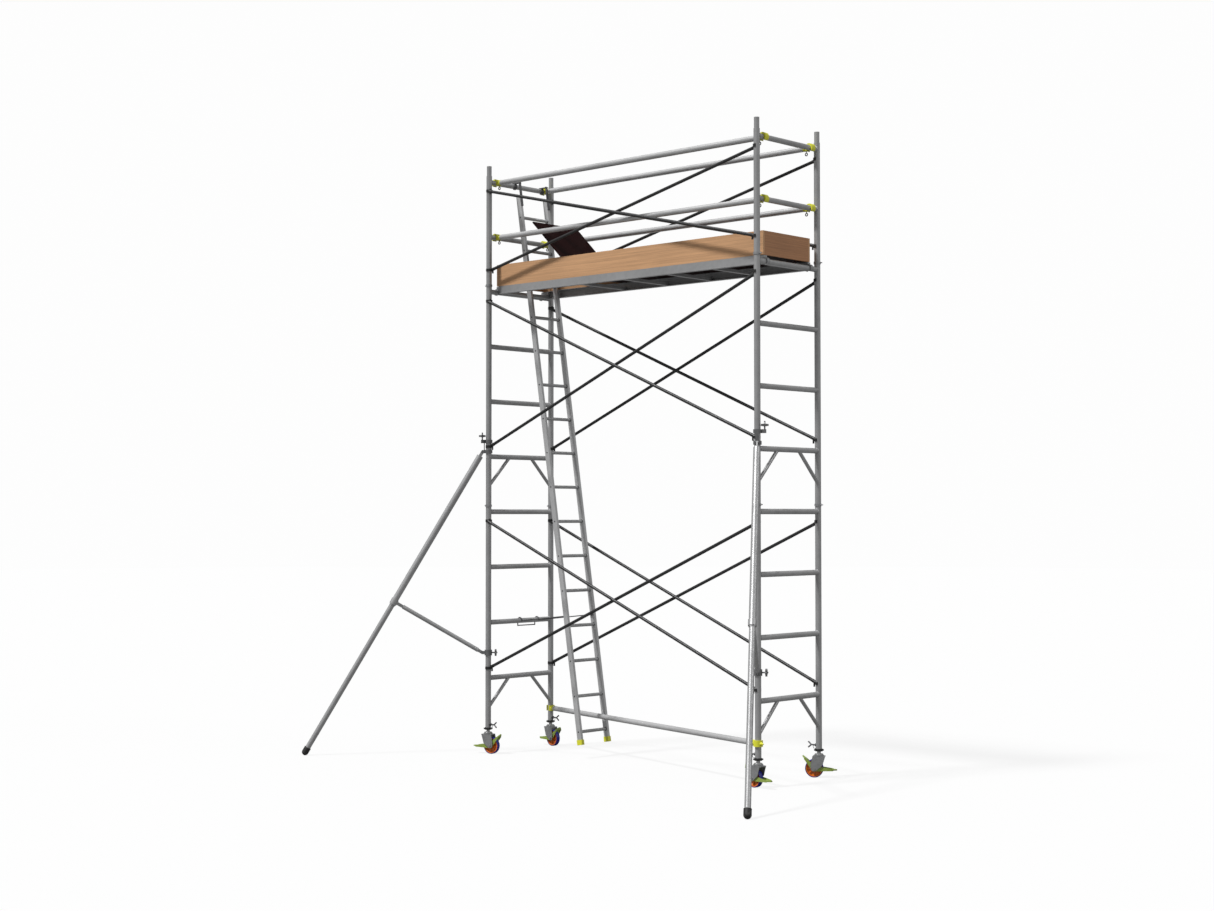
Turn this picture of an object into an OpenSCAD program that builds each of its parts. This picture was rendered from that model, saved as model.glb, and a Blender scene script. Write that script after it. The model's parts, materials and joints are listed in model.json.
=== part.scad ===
// Mobile access tower: two braced stacks of aluminium ladder frames on four
// braked castors, with a trapdoor platform, guardrails, toe boards, a sloping
// access ladder and two telescopic stabilisers. Millimetres, +Z up. The origin
// is on the ground under the middle of the whole outline.

/* [Tower] */
// Distance between the two end frames, standard axis to standard axis
tower_length = 3100; // [2400:10:3720]
// Width of the end frames, standard axis to standard axis
frame_width = 800; // [760:5:1400]
// Vertical pitch of the frame rungs
rung_pitch = 500; // [460:5:600]
// Height of the lowest rung above the ground
first_rung_z = 680; // [660:5:800]

/* [Frame tubes] */
// Outer diameter of the standards
standard_d = 50.8; // [42:0.1:60]
// Wall of the standards
standard_wall = 3.2; // [2:0.1:4]
// Outer diameter of the rungs
rung_d = 44.5; // [34:0.5:50]
// Outer diameter of the knee braces
knee_d = 30; // [22:1:36]
// Height of the exposed spigot on each standard
spigot_out = 90; // [50:5:120]
// Outer diameter of the diagonal braces
brace_d = 27; // [20:1:34]
// Outer diameter of the guardrail tubes
rail_d = 48; // [38:1:52]
// Distance of each guardrail inside the standard axis
rail_inset = 90; // [75:1:110]

/* [Platform] */
// Distance of the platform's edge inside the standard axis
deck_inset = 90; // [60:1:120]
// Height of the platform's side beams
beam_h = 70; // [60:1:100]
// Thickness of the deck board and of the trapdoor
deck_t = 12; // [9:0.5:18]
// Height of the toe boards
toe_h = 195; // [150:5:220]
// Thickness of the toe boards
toe_t = 18; // [12:1:27]
// Distance from the left frame to the trapdoor's hinge
hatch_hinge_x = 1003; // [900:1:1200]
// Length of the trapdoor
hatch_length = 760; // [600:5:760]
// Angle at which the trapdoor stands open
hatch_open = 44.3; // [0:0.1:90]

/* [Ladder] */
// Distance of the ladder's feet from the left frame
ladder_foot_x = 858; // [750:1:900]
// Height of the ladder's feet above the ground
ladder_foot_z = 119; // [60:1:200]
// Distance between the ladder's stiles, centre to centre
ladder_width = 346; // [300:2:360]
// Distance from the ladder's back stile to the back standards
ladder_inset = 139; // [139:1:170]
// Pitch of the ladder's rungs along the stiles
ladder_pitch = 314; // [250:1:320]
// Depth of a stile, across the ladder's slope
stile_depth = 50; // [40:1:62]

/* [Castors] */
// Diameter of the wheels
wheel_d = 150; // [120:1:160]
// Distance of the wheel's axle behind the swivel axis
castor_trail = 38; // [25:1:45]
// Direction of each castor: left front, left back, right front, right back
castor_yaw = [15, -5, 173, 211]; // [-180:1:360]

/* [Stabilisers] */
// Distance of the leg's pivot below the middle brace's lower hook
leg_pivot_drop = 45; // [45:1:120]
// Reach of the left leg's foot from its standard
left_reach = 1635; // [1300:5:1700]
// Reach of the right leg's foot from its standard
right_reach = 1520; // [1300:5:1700]
// Direction of the left leg, seen from above
left_bearing = 227.5; // [200:0.5:250]
// Direction of the right leg, seen from above
right_bearing = -54.5; // [-80:0.5:-30]
// Outer diameter of the leg's upper tube
leg_d = 57; // [50:1:60]
// Outer diameter of the leg's lower tube
leg_inner_d = 48; // [40:1:50]
// Distance along the leg from its pivot to the strut's pivot
strut_station = 1570; // [1300:5:1700]
// Distance of the strut's clamp above the lowest brace's lower hook
strut_clamp_rise = 138; // [60:2:200]

/* [Hidden] */
$fn = 64;

// Clearances
weld_gap = 0.02;     // hairline that keeps welded tubes as separate solids
slip = 0.3;          // radial gap of a part that slides on a tube
hinge_play = 0.05;   // radial running clearance of a pin in its bore
side_play = 0.5;     // gap beside a hinged tongue or knuckle
lift = 0.3;          // gap under a part that lies on another body
past = 1;            // how far a cutter runs past the part that it cuts
ball_over = 0.6;     // how much fatter a bent wire is at its corner

// Colours
aluminium = [0.62, 0.63, 0.64];
zinc = [0.55, 0.57, 0.60];
dark_tube = [0.20, 0.20, 0.21];
black = [0.04, 0.04, 0.04];
yellow = [0.80, 0.80, 0.10];
timber = [0.72, 0.52, 0.36];
board_brown = [0.16, 0.06, 0.05];
orange = [0.85, 0.36, 0.05];
blue = [0.05, 0.05, 0.55];
lime = [0.58, 0.68, 0.25];

// Frames
standard_r = standard_d / 2;
rung_r = rung_d / 2;
rung_wall = 2.5;
knee_wall = 2;
rung_to_top = 55;                 // from a frame's top rung to its top
spigot_in = 110;                  // length of a spigot inside its own frame
spigot_wall = 3;
spigot_d = standard_d - 2 * standard_wall - 2 * slip;
spigot_root_d = standard_d - 2 * standard_wall - 2 * weld_gap;
knee_drop = 270;                  // from the rung down to the knee brace's foot
knee_run = 265;                   // from the standard along the rung
frame_pitches = 4;                // rungs in a full frame
guard_pitches = 2;                // rungs in a guard frame
platform_rung = 2 * frame_pitches - 1;
mid_rail_rung = platform_rung + 1;
top_rail_rung = platform_rung + 2;
frame_bottom_z = rung_z(0) - rung_pitch + rung_to_top;
joint_1_z = frame_bottom_z + frame_pitches * rung_pitch;
joint_2_z = joint_1_z + frame_pitches * rung_pitch;
spigot_top_z = joint_2_z + guard_pitches * rung_pitch + spigot_out;
corners = [[0, 0], [0, frame_width], [tower_length, 0], [tower_length, frame_width]];

// Interlock clips
clip_h = 20;
clip_wall = 4;
clip_pin_d = 9;
clip_pin_out = 20;

// Diagonal braces: height of the lower hook above its rung, height of the
// upper hook below its rung, and the rungs that they belong to
brace_bays = [
    [rung_z(0) + 90, rung_z(3) - 82],
    [rung_z(4) + 90, rung_z(7) - 88],
    [rung_z(7) + 195, rung_z(9) - 82]
];
brace_wall = 2;
brace_offset = brace_d / 2 + 2;   // crossed braces pass each other side by side
brace_reach = 58;                 // from the standard's axis to the tube's end
claw_wall = 6;
claw_h = 24;
claw_grip = 9;                    // how far past the tube's middle the jaws close
trigger_d = 15;
trigger_h = 46;

// Guardrails
rail_wall = 2;
rail_reach = 62;
rail_claw_w = 48;
rail_claw_wall = 14;
ring_r = 11;
ring_wire_r = 4;
ring_drop = 49;                   // trigger ring's centre below the rung's axis

// Plan brace
plan_z = rung_z(0) - 330;
plan_d = 46;
plan_reach = 70;
plan_claw_h = 50;
plan_claw_wall = 12;
plan_nose = 32;
plan_span = sqrt(pow(tower_length, 2) + pow(frame_width, 2));
plan_angle = atan2(-frame_width, tower_length);

// Platform
deck_z = rung_z(platform_rung) + 55;        // top of the side beams
deck_y0 = deck_inset;
deck_y1 = frame_width - deck_inset;
beam_end = 50;                              // from the frame's axis to the beam
beam_web = 4;
beam_flange = 30;
beam_lip = 10;                              // the lip along a beam's lower edge
ledge_w = 22;                               // lip beside the trapdoor that it closes on
ledge_t = 4;
cross_h = 26;
cross_w = 34;
board_side_gap = 1;
board_y0 = deck_y0 + toe_t + board_side_gap;
board_y1 = deck_y1 - toe_t - board_side_gap;
toe_end = 8;                                // from the frame's axis to the toe board
deck_claw_w = 34;
deck_claw_wall = 11;
deck_claw_arm = 90;
cross_count = 5;

// Trapdoor
pin_d = 8;
knuckle_r = 8;
knuckle_w = 30;
hatch_z = deck_z + lift;
hatch_pin_z = deck_z + deck_t + knuckle_r + side_play;
hatch_side_gap = 4;
hatch_y0 = max(deck_y0 + toe_t, rail_inset + rail_d / 2) + hatch_side_gap;
hatch_y1 = frame_width - hatch_y0;
hatch_edge_x = hatch_hinge_x - 10;          // the trapdoor's edge at its hinge
strap_t = 4;
strap_l = 60;
leaf_l = 50;
leaf_t = 3;
hinge_ys = [hatch_y0 + 110, hatch_y1 - 110];

// Ladder
ladder_top_x = 50;
ladder_y = frame_width - ladder_inset - ladder_width / 2;
ladder_run = ladder_foot_x - ladder_top_x;
ladder_rise = rung_z(top_rail_rung) - ladder_foot_z;
ladder_slope = atan2(ladder_run, ladder_rise);
ladder_axis_l = sqrt(pow(ladder_run, 2) + pow(ladder_rise, 2));
stile_w = 25;
stile_wall = 2.5;
stile_top_gap = 95;                         // from the hook rung down to the stiles
stile_l = ladder_axis_l - stile_top_gap;
ladder_rung_d = 29;
ladder_first = 115;
ladder_rung_count = floor((stile_l - ladder_first) / ladder_pitch) + 1;
foot_wall = 4;
foot_h = 46;
foot_base = 10;
hook_w = 26;
hook_wall = 8;
hook_bar_t = 8;
hook_bar_l = 130;
ladder_ys = [ladder_y - ladder_width / 2, ladder_y + ladder_width / 2];
stay_wire_r = 5;
stay_ys = [ladder_y - 90, ladder_y + 130];
stay_rise = 70;                             // of the stay's ladder end over its rung
stay_drop = 46;
stay_foot_r = 9;
stay_foot_t = 5;

// Castors
wheel_r = wheel_d / 2;
tyre_w = 42;
tyre_t = 7;
tyre_edge = 3.5;
hub_r = wheel_r - tyre_t;
hub_w = 34;
hub_boss_r = 18;
hub_boss_w = 46;
hub_web = 12;
hub_rim = 9;
axle_d = 12;
axle_head_r = 10;
axle_head_t = 6;
plate_gap = 4;
pedal_t = 4;
pedal_in = hub_boss_w / 2 + 2;
pedal_out = pedal_in + pedal_t;
cheek_in = pedal_out + plate_gap;
cheek_t = 5;
fork_top_z = wheel_d + 27;
fork_plate_t = 8;
fork_half = 50;
race_r = 40;
race_h = 10;
kingpin_d = 16;
kingpin_nut_r = 13;
kingpin_nut_t = 8;
spindle_flange_r = 34;
spindle_flange_t = 8;
spindle_d = 33;
spindle_stem_z = fork_top_z + race_h + side_play;
spindle_l = 470;
nut_h = 20;
nut_r = 31;
nut_lug = 13;
pad_edge = 83;                              // from the axle to the pedal's pads
pad_t = 9;
low_tip = 148;                              // from the swivel axis to the low tip
low_shoulder = 118;
arm_half = 19;
up_arm_l = 140;
up_arm_angle = 45;
up_shoulder = 26;
wing_z = frame_bottom_z + 28;
wing_stem_d = 13;
wing_stem_l = 52;
wing_boss_r = 13;
wing_boss_h = 10;
wing_arm_l = 34;
wing_arm_d = 12;
wing_spread = 38;
wire_loop_r = 15;
wire_r = 2;

// Stabilisers
clamp_r = standard_r + slip;
clamp_wall = 8;
leg_pivot_r = 54;
leg_pivot_z = brace_bays[1][0] - leg_pivot_drop;
strut_clamp_z = brace_bays[0][0] + strut_clamp_rise;
leg_wall = 3;
leg_pin_d = 12;
tongue_t = 12;
tongue_r = 14;
ear_t = 6;
ear_out = 15;
band_h = 30;                                // height of each of the leg clamp's bands
band_gap = 62;                              // room between the bands for a brace hook
plate_in = 36;
plate_t = 8;
plate_half = 14;
strut_clamp_h = 50;
leg_tube_start = 46;
leg_tube_end = strut_station + 34;
strut_side = 49;                            // from the leg's axis to the strut's pivot
strut_d = 38;
strut_wall = 2;
strut_tube_start = 44;
collar_h = 50;
collar_wall = 5;
extension_in = 350;
extension_wall = 2.5;
foot_r = 30;
foot_cap_l = 46;
bolt_d = 12;
bolt_r = 58;
bolt_l = 66;                                // from the upper band's top to the bolt's end
knob_rise = 24;
knob_t = 20;
knob_hub_r = 17;
knob_reach = 31;
knob_arm_w = 16;
knob_arm_t = 16;
knob_arms = 5;
side_bolt_l = 78;
side_knob_at = 52;

// The whole outline's middle goes to the origin
left_foot = [left_reach * cos(left_bearing), left_reach * sin(left_bearing)];
right_foot = [tower_length + right_reach * cos(right_bearing),
              right_reach * sin(right_bearing)];
back_edge = frame_width + 87;
origin_x = (left_foot[0] + right_foot[0]) / 2;
origin_y = (min(left_foot[1], right_foot[1]) - foot_r + back_edge) / 2;

function rung_z(i) = first_rung_z + i * rung_pitch;
function leg_lean(reach) = atan2(reach - leg_pivot_r, leg_pivot_z - foot_r);
function leg_length(reach) =
    sqrt(pow(reach - leg_pivot_r, 2) + pow(leg_pivot_z - foot_r, 2));
// Point beside the leg: s along it from the pivot, n towards the tower
function leg_point(reach, s, n) = [
    leg_pivot_r + s * sin(leg_lean(reach)) - n * cos(leg_lean(reach)),
    leg_pivot_z - s * cos(leg_lean(reach)) - n * sin(leg_lean(reach))
];
function strut_run(reach) = leg_point(reach, strut_station, strut_side)[0] - leg_pivot_r;
function strut_drop(reach) = leg_point(reach, strut_station, strut_side)[1] - strut_clamp_z;
function strut_length(reach) = sqrt(pow(strut_run(reach), 2) + pow(strut_drop(reach), 2));
function strut_lean(reach) = atan2(strut_run(reach), strut_drop(reach));

// Puts the tower's own frame, with the left front standard at zero, in place
module placed() {
    translate([-origin_x, -origin_y, 0]) children();
}

module tube(d, wall, h) {
    difference() {
        cylinder(d = d, h = h);
        translate([0, 0, -past]) cylinder(d = d - 2 * wall, h = h + 2 * past);
    }
}

// Turns +Z to point from a to b, with the origin at a
module along(a, b) {
    v = b - a;
    translate(a)
        rotate([0, acos(v[2] / norm(v)), atan2(v[1], v[0])]) children();
}

// Straight wire from a to b, with a ball at b that is a little fatter
module rod(a, b, r) {
    along(a, b) cylinder(r = r, h = norm(b - a));
    translate(b) sphere(r = r + ball_over);
}

// ---------- frames ----------

module rung(z) {
    difference() {
        translate([0, 0, z]) rotate([-90, 0, 0]) tube(rung_d, rung_wall, frame_width);
        for (y = [0, frame_width])
            translate([0, y, z - rung_d])
                cylinder(r = standard_r + weld_gap, h = 2 * rung_d);
    }
}

module knee_brace(z, y, inward) {
    foot = [0, y, z - knee_drop];
    head = [0, y + inward * knee_run, z];
    difference() {
        along(foot, head) tube(knee_d, knee_wall, norm(head - foot));
        translate([0, y, z - 2 * knee_drop])
            cylinder(r = standard_r + weld_gap, h = 3 * knee_drop);
        translate([0, 0, z]) rotate([-90, 0, 0])
            cylinder(r = rung_r + weld_gap, h = frame_width);
    }
}

// Its root fills the frame's own tube, and its free end slips into the next one
module spigot() {
    bore_r = spigot_d / 2 - spigot_wall;
    rotate_extrude() polygon([
        [bore_r, -spigot_in], [spigot_root_d / 2, -spigot_in], [spigot_root_d / 2, 0],
        [spigot_d / 2, 0], [spigot_d / 2, spigot_out], [bore_r, spigot_out]
    ]);
}

module end_frame(first, count, braced) {
    bottom = rung_z(first) - rung_pitch + rung_to_top;
    for (y = [0, frame_width]) {
        translate([0, y, bottom]) tube(standard_d, standard_wall, count * rung_pitch);
        translate([0, y, bottom + count * rung_pitch]) spigot();
    }
    for (i = [0 : count - 1]) rung(rung_z(first + i));
    if (braced) {
        knee_brace(rung_z(first), 0, 1);
        knee_brace(rung_z(first), frame_width, -1);
    }
}

module frame_at(x, first, count, braced) {
    color(aluminium) placed() translate([x, 0, 0]) end_frame(first, count, braced);
}

module interlock_clips() {
    color(zinc) placed()
        for (c = corners, z = [joint_1_z, joint_2_z]) {
            out = c[0] == 0 ? 180 : 0;
            translate([c[0], c[1], z - clip_h / 2]) {
                difference() {
                    cylinder(r = standard_r + slip + clip_wall, h = clip_h);
                    translate([0, 0, -past]) cylinder(r = standard_r + slip, h = clip_h + 2 * past);
                }
                rotate([0, 0, out]) translate([standard_r + slip + clip_wall - past, 0, clip_h / 2])
                    rotate([0, 90, 0]) cylinder(d = clip_pin_d, h = clip_pin_out);
            }
        }
}

// ---------- diagonal braces ----------

// The two ends of a brace: rising is 1 from left to right and -1 the other way
function brace_ends(bay, rising, y) = [
    [0, y + rising * brace_offset, rising > 0 ? bay[0] : bay[1]],
    [tower_length, y + rising * brace_offset, rising > 0 ? bay[1] : bay[0]]
];

module brace_tube(ends) {
    v = ends[1] - ends[0];
    start = ends[0] + v / norm(v) * brace_reach;
    along(start, ends[1]) tube(brace_d, brace_wall, norm(v) - 2 * brace_reach);
}

module diagonal_braces(y) {
    color(dark_tube) placed()
        for (bay = brace_bays, rising = [1, -1]) brace_tube(brace_ends(bay, rising, y));
}

module brace_hook(at, other, y) {
    side = other[0] > at[0] ? 1 : -1;
    v = other - at;
    difference() {
        union() {
            translate([at[0], y, at[2] - claw_h / 2])
                cylinder(r = standard_r + slip + claw_wall, h = claw_h);
            along(at, at + v) cylinder(d = brace_d + 2, h = brace_reach - weld_gap);
            translate([at[0] + side * (standard_r + claw_wall + 2), at[1], at[2] - trigger_h / 2 - 6])
                cylinder(d = trigger_d, h = trigger_h);
        }
        translate([at[0], y, at[2] - claw_h * 2])
            cylinder(r = standard_r + slip, h = claw_h * 4);
        translate([at[0] - side * (claw_grip + standard_r), y, at[2]])
            cube([2 * standard_r, 4 * standard_r, 4 * claw_h], center = true);
    }
}

module brace_hooks() {
    color(black) placed()
        for (y = [0, frame_width], bay = brace_bays, rising = [1, -1]) {
            ends = brace_ends(bay, rising, y);
            brace_hook(ends[0], ends[1], y);
            brace_hook(ends[1], ends[0], y);
        }
}

// ---------- guardrails and plan brace ----------

rail_ys = [rail_inset, frame_width - rail_inset];
rail_zs = [rung_z(mid_rail_rung), rung_z(top_rail_rung)];

module guardrails() {
    color(aluminium) placed()
        for (y = rail_ys, z = rail_zs)
            translate([rail_reach, y, z]) rotate([0, 90, 0])
                tube(rail_d, rail_wall, tower_length - 2 * rail_reach);
}

// A claw that drops over a tube along Y at the origin, with its arm towards +X
module tube_claw(r, w, grip) {
    difference() {
        children();
        rotate([90, 0, 0]) cylinder(r = r + slip, h = 4 * w, center = true);
        translate([0, 0, -grip - r]) cube([2 * r + 2 * slip, 4 * w, 2 * r], center = true);
    }
}

module rail_hook() {
    tube_claw(rung_r, rail_claw_w, claw_grip)
        union() {
            rotate([90, 0, 0])
                cylinder(r = rung_r + slip + rail_claw_wall, h = rail_claw_w, center = true);
            rotate([0, 90, 0]) cylinder(d = rail_d + 2, h = rail_reach - weld_gap);
        }
}

module rail_hooks() {
    color(yellow) placed()
        for (y = rail_ys, z = rail_zs) {
            translate([0, y, z]) rail_hook();
            translate([tower_length, y, z]) rotate([0, 0, 180]) rail_hook();
        }
}

module rail_trigger() {
    at_x = rung_r + rail_claw_wall + 4;
    translate([at_x, 0, -ring_drop]) rotate([90, 0, 0])
        rotate_extrude() translate([ring_r, 0]) circle(r = ring_wire_r, $fn = 32);
    translate([at_x, 0, -ring_drop + ring_r])
        cylinder(r = ring_wire_r, h = ring_drop - ring_r - rail_d / 2 - 1 - weld_gap);
}

module rail_triggers() {
    color(black) placed()
        for (y = rail_ys, z = rail_zs) {
            translate([0, y, z]) rail_trigger();
            translate([tower_length, y, z]) rotate([0, 0, 180]) rail_trigger();
        }
}

module plan_brace() {
    color(aluminium) placed()
        translate([0, frame_width, plan_z]) rotate([0, 0, plan_angle])
            translate([plan_reach, 0, 0]) rotate([0, 90, 0])
                tube(plan_d, rail_wall, plan_span - 2 * plan_reach);
}

// Claw round a standard at the origin, with its tube towards +X
module plan_claw() {
    outer = standard_r + slip + plan_claw_wall;
    difference() {
        union() {
            cylinder(r = outer, h = plan_claw_h, center = true);
            rotate([0, 90, 0]) cylinder(d = plan_d + 2, h = plan_reach - weld_gap);
            rotate([0, -90, 0]) cylinder(r1 = plan_claw_h / 2 - 3, r2 = 4, h = outer + plan_nose);
        }
        cylinder(r = standard_r + slip, h = 2 * plan_claw_h, center = true);
        translate([0, -outer - claw_grip, 0])
            cube([outer, 2 * outer, 2 * plan_claw_h], center = true);
    }
}

module plan_brace_hooks() {
    color(yellow) placed() {
        translate([0, frame_width, plan_z]) rotate([0, 0, plan_angle]) plan_claw();
        translate([tower_length, 0, plan_z]) rotate([0, 0, plan_angle + 180]) plan_claw();
    }
}

// ---------- platform ----------

// Channel section: web at x = 0, flanges towards +x, top edge at y = 0
module beam_section() {
    translate([-beam_lip, -beam_h]) square([beam_lip + beam_web, beam_web]);
    difference() {
        translate([0, -beam_h]) square([beam_flange, beam_h]);
        translate([beam_web, -beam_h + beam_web]) square([beam_flange, beam_h - 2 * beam_web]);
    }
}

module side_beam() {
    translate([beam_end, 0, deck_z]) rotate([90, 0, 90])
        linear_extrude(tower_length - 2 * beam_end) beam_section();
}

module cross_member(x) {
    y0 = deck_y0 + beam_web + weld_gap;
    translate([x - cross_w / 2, y0, deck_z - beam_h + beam_web + weld_gap])
        cube([cross_w, frame_width - 2 * y0, cross_h]);
}

module hinge_leaf(y) {
    translate([hatch_hinge_x, y, 0]) {
        translate([knuckle_r + side_play, -knuckle_w * 1.5, deck_z + deck_t])
            cube([leaf_l, knuckle_w * 3, leaf_t]);
        translate([0, -knuckle_w / 2 + side_play, deck_z + deck_t])
            cube([leaf_l / 2, knuckle_w - 2 * side_play, leaf_t]);
        translate([0, 0, hatch_pin_z]) rotate([90, 0, 0]) {
            cylinder(r = knuckle_r - side_play, h = knuckle_w - 2 * side_play, center = true);
            cylinder(d = pin_d, h = knuckle_w * 3, center = true);
        }
    }
}

module platform_frame() {
    first = hatch_hinge_x + cross_w;
    last = tower_length - beam_end - cross_w / 2;
    color(zinc) placed() {
        translate([0, deck_y0, 0]) side_beam();
        translate([0, deck_y1, 0]) mirror([0, 1, 0]) side_beam();
        cross_member(beam_end + cross_w / 2);
        for (i = [0 : cross_count - 1])
            cross_member(first + (last - first) * i / (cross_count - 1));
        for (y = hinge_ys) hinge_leaf(y);
        for (y = [deck_y0 + beam_flange + weld_gap, deck_y1 - beam_flange - weld_gap - ledge_w])
            translate([hatch_edge_x - hatch_length, y, deck_z - ledge_t])
                cube([hatch_length - cross_w, ledge_w, ledge_t]);
    }
}

module deck_board() {
    color(board_brown) placed()
        translate([hatch_hinge_x - 3, board_y0, deck_z])
            cube([tower_length - toe_end - toe_t - hatch_hinge_x + 2, board_y1 - board_y0, deck_t]);
}

// Hooks that carry the platform on the frames' rungs
module platform_claw() {
    claw_z = rung_z(platform_rung);
    arm_top = deck_z - beam_web - side_play - claw_z;
    arm_bottom = deck_z - beam_h + beam_web + side_play - claw_z;
    shelf = arm_bottom + cross_h + side_play;
    translate([0, 0, claw_z])
        tube_claw(rung_r, deck_claw_w, claw_grip)
            union() {
                rotate([90, 0, 0])
                    cylinder(r = rung_r + slip + deck_claw_wall, h = deck_claw_w, center = true);
                translate([0, -deck_claw_w / 2, arm_bottom])
                    cube([beam_end - side_play, deck_claw_w, arm_top - arm_bottom]);
                translate([0, -deck_claw_w / 2, shelf])
                    cube([deck_claw_arm, deck_claw_w, arm_top - shelf]);
            }
}

module platform_claws() {
    claw_y = deck_y0 + beam_web + side_play + deck_claw_w / 2;
    color([0.7, 0.72, 0.74]) placed()
        for (y = [claw_y, frame_width - claw_y]) {
            translate([0, y, 0]) platform_claw();
            translate([tower_length, y, 0]) rotate([0, 0, 180]) platform_claw();
        }
}

module toe_boards_long() {
    color(timber) placed()
        for (y = [deck_y0, deck_y1 - toe_t])
            translate([toe_end, y, deck_z]) cube([tower_length - 2 * toe_end, toe_t, toe_h]);
}

module toe_boards_end() {
    y0 = deck_y0 + toe_t + weld_gap;
    color(timber * 0.9) placed()
        for (x = [toe_end, tower_length - toe_end - toe_t])
            translate([x, y0, deck_z]) cube([toe_t, frame_width - 2 * y0, toe_h]);
}

// Trapdoor, drawn closed and then turned up about its hinge
module hatch() {
    color(board_brown) placed()
        translate([hatch_hinge_x, 0, hatch_pin_z]) rotate([0, hatch_open, 0])
            translate([-hatch_hinge_x, 0, -hatch_pin_z])
                difference() {
                    union() {
                        translate([hatch_edge_x - hatch_length, hatch_y0, hatch_z])
                            cube([hatch_length, hatch_y1 - hatch_y0, deck_t]);
                        for (y = hinge_ys, side = [-1, 1])
                            translate([hatch_hinge_x, y + side * knuckle_w, 0]) hatch_strap();
                    }
                    for (y = hinge_ys)
                        translate([hatch_hinge_x, y, hatch_pin_z]) rotate([90, 0, 0])
                            cylinder(r = pin_d / 2 + hinge_play, h = knuckle_w * 4, center = true);
                }
}

module hatch_strap() {
    w = knuckle_w - 2 * side_play;
    translate([-strap_l, -w / 2, hatch_z + deck_t]) cube([strap_l, w, strap_t]);
    translate([0, 0, hatch_pin_z]) rotate([90, 0, 0])
        cylinder(r = knuckle_r - side_play, h = w, center = true);
}

// ---------- ladder ----------

// Puts a part drawn in the ladder's own plane in place: +Z up the slope from
// the feet, +X away from the left frame
module on_ladder() {
    translate([ladder_foot_x, 0, ladder_foot_z]) rotate([0, -ladder_slope, 0]) children();
}

module ladder_stiles() {
    color(aluminium) placed() on_ladder()
        for (y = ladder_ys)
            translate([-stile_depth / 2, y - stile_w / 2, foot_base])
                difference() {
                    cube([stile_depth, stile_w, stile_l - foot_base]);
                    translate([stile_wall, stile_wall, -past])
                        cube([stile_depth - 2 * stile_wall, stile_w - 2 * stile_wall, stile_l + 2 * past]);
                }
}

module ladder_rungs() {
    clear_w = ladder_width - stile_w - 2 * weld_gap;
    color(aluminium) placed() on_ladder()
        for (i = [0 : ladder_rung_count - 1])
            translate([0, ladder_y - clear_w / 2, ladder_first + i * ladder_pitch])
                rotate([-90, 0, 0]) tube(ladder_rung_d, stile_wall, clear_w);
}

module ladder_feet() {
    color(yellow) placed() on_ladder()
        for (y = ladder_ys) translate([0, y, 0])
            difference() {
                translate([-stile_depth / 2 - foot_wall, -stile_w / 2 - foot_wall, 0])
                    cube([stile_depth + 2 * foot_wall, stile_w + 2 * foot_wall, foot_h]);
                translate([-stile_depth / 2, -stile_w / 2, foot_base])
                    cube([stile_depth, stile_w, foot_h]);
            }
}

module ladder_hook() {
    reach = stile_depth / 2 + hook_bar_t;
    top = rung_r + slip + hook_wall;
    difference() {
        union() {
            rotate([90, 0, 0]) cylinder(r = top, h = hook_w, center = true);
            translate([0, -hook_w / 2, top - hook_wall])
                cube([ladder_top_x + reach, hook_w, hook_wall]);
            translate([ladder_top_x, 0, 0]) rotate([0, -ladder_slope, 0])
                translate([stile_depth / 2, -hook_w / 2, -stile_top_gap - hook_bar_l + top])
                    cube([hook_bar_t, hook_w, stile_top_gap + hook_bar_l]);
        }
        rotate([90, 0, 0]) cylinder(r = rung_r + slip, h = 4 * hook_w, center = true);
        translate([-top, 0, -top - claw_grip]) cube([2 * top, 4 * hook_w, 2 * top], center = true);
    }
}

module ladder_hooks() {
    color([0.3, 0.3, 0.31]) placed()
        for (y = ladder_ys) translate([0, y, rung_z(top_rail_rung)]) ladder_hook();
}

// Wire stay that hooks over the second rung and holds the ladder off the frame
module ladder_stay() {
    loop_r = rung_r + slip + ball_over + stay_wire_r;
    stile_face = stile_w / 2 + weld_gap;
    stile_faces = [ladder_ys[0] + stile_face, ladder_ys[1] - stile_face];
    end_z = rung_z(1) + stay_rise;
    end_x = ladder_foot_x - (end_z - ladder_foot_z) * tan(ladder_slope);
    color(zinc) placed() {
        for (i = [0, 1]) {
            inward = i == 0 ? 1 : -1;
            wire_y = stile_faces[i] + inward * (stay_wire_r + stay_foot_t);
            translate([0, stay_ys[i], rung_z(1)]) rotate([90, 0, 0])
                rotate_extrude(angle = 180) translate([loop_r, 0]) circle(r = stay_wire_r);
            rod([end_x, wire_y, end_z], [loop_r, stay_ys[i], rung_z(1)], stay_wire_r);
            translate([end_x, stile_faces[i], end_z]) rotate([-90 * inward, 0, 0])
                cylinder(r = stay_foot_r, h = stay_foot_t + 2 * stay_wire_r);
            rod([-loop_r, stay_ys[i], rung_z(1)], [-loop_r, stay_ys[i], rung_z(1) - stay_drop],
                stay_wire_r);
        }
        along([-loop_r, stay_ys[0], rung_z(1) - stay_drop], [-loop_r, stay_ys[1], rung_z(1) - stay_drop])
            cylinder(r = stay_wire_r, h = stay_ys[1] - stay_ys[0]);
    }
}

// ---------- castors ----------

module spindle_nuts() {
    color(black) placed()
        for (c = corners) translate([c[0], c[1], frame_bottom_z - nut_h - weld_gap])
            difference() {
                union() {
                    cylinder(r = nut_r, h = nut_h);
                    for (a = [0, 180]) rotate([0, 0, a + 45])
                        translate([nut_r - 4, -6, 4]) cube([nut_lug, 12, nut_h - 8]);
                }
                translate([0, 0, -past]) cylinder(r = spindle_d / 2 + slip, h = nut_h + 2 * past);
            }
}

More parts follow.
